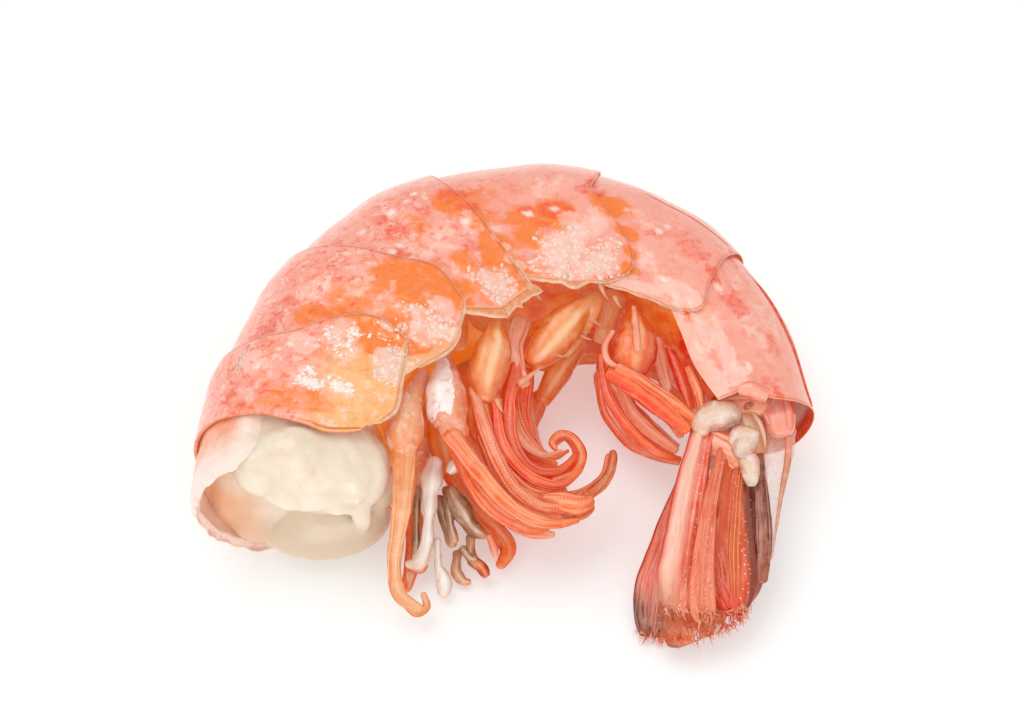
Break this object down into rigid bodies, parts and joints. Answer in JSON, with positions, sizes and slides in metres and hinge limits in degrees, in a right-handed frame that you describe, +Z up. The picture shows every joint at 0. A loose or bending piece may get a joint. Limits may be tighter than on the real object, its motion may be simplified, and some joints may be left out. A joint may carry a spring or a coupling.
{
  "type": "headless shell-on red shrimp tail",
  "caption": "Raw headless red shrimp tail in its shell, curled on its side: overlapping shell rings, swimming legs, leg stumps, folded tail fan and pale flesh bulging from the open front.",
  "frame": {"origin": "middle of the bounding box seen from above, on the surface the tail lies on", "axes": "+X to the right across the open front, +Y away from the open side of the curl, +Z up; the tail lies on its right side"},
  "size_m": [0.0604, 0.0528, 0.0177],
  "materials": {
    "flesh": "moist raw flesh, creamy white and slightly see-through",
    "collar_skin": "thin pale pink skin with orange blush",
    "shell": "thin wet shell, coral pink with orange lower parts and white frost patches",
    "belly_skin": "wet orange skin with cross folds",
    "frosted_base": "limb base covered with white frost",
    "limb_base": "golden see-through limb segment",
    "limb_blade": "orange-red ringed lash",
    "leg_white": "opaque white leg stump",
    "leg_grey": "grey-brown see-through leg stump",
    "tail_joint": "chalky white joint piece",
    "telson": "narrow pink tail spike",
    "tail_blade": "see-through orange tail blade with pale ribs"
  },
  "bodies": {
    "root": {"meat": "flesh", "collar": "collar_skin", "shell_ring_1": "shell", "shell_ring_2": "shell", "shell_ring_3": "shell", "shell_ring_4": "shell", "shell_ring_5": "shell", "shell_ring_6": "shell", "belly_skin": "belly_skin", "pleopod_1_left_protopod": "limb_base", "pleopod_1_left_exopod": "limb_blade", "pleopod_2_left_protopod": "frosted_base", "pleopod_2_left_exopod": "limb_blade", "pleopod_2_left_endopod": "limb_blade", "pleopod_3_left_protopod": "limb_base", "pleopod_3_left_exopod": "limb_blade", "pleopod_3_left_endopod": "limb_blade", "pleopod_4_left_protopod": "limb_base", "pleopod_4_left_exopod": "limb_blade", "pleopod_4_left_endopod": "limb_blade", "pleopod_5_left_protopod": "limb_base", "pleopod_5_left_exopod": "limb_blade", "pleopod_5_left_endopod": "limb_blade", "pleopod_1_right_protopod": "limb_base", "pleopod_1_right_exopod": "limb_blade", "pleopod_2_right_protopod": "limb_base", "pleopod_2_right_exopod": "limb_blade", "pleopod_2_right_endopod": "limb_blade", "pleopod_3_right_protopod": "limb_base", "pleopod_3_right_exopod": "limb_blade", "pleopod_3_right_endopod": "limb_blade", "pleopod_4_right_protopod": "limb_base", "pleopod_4_right_exopod": "limb_blade", "pleopod_4_right_endopod": "limb_blade", "pleopod_5_right_protopod": "limb_base", "pleopod_5_right_exopod": "limb_blade", "pleopod_5_right_endopod": "limb_blade", "leg_white": "leg_white", "leg_knob": "leg_white", "leg_grey_long": "leg_grey", "leg_grey_short": "leg_grey", "leg_cream": "leg_white", "leg_curled": "leg_grey", "leg_foot": "leg_grey", "telson": "telson", "uropod_base_left": "tail_joint", "uropod_joint_left": "tail_joint", "uropod_exopod_left": "tail_blade", "uropod_endopod_left": "tail_blade", "uropod_base_right": "tail_joint", "uropod_exopod_right": "tail_blade", "uropod_endopod_right": "tail_blade"}
  },
  "joints": []
}
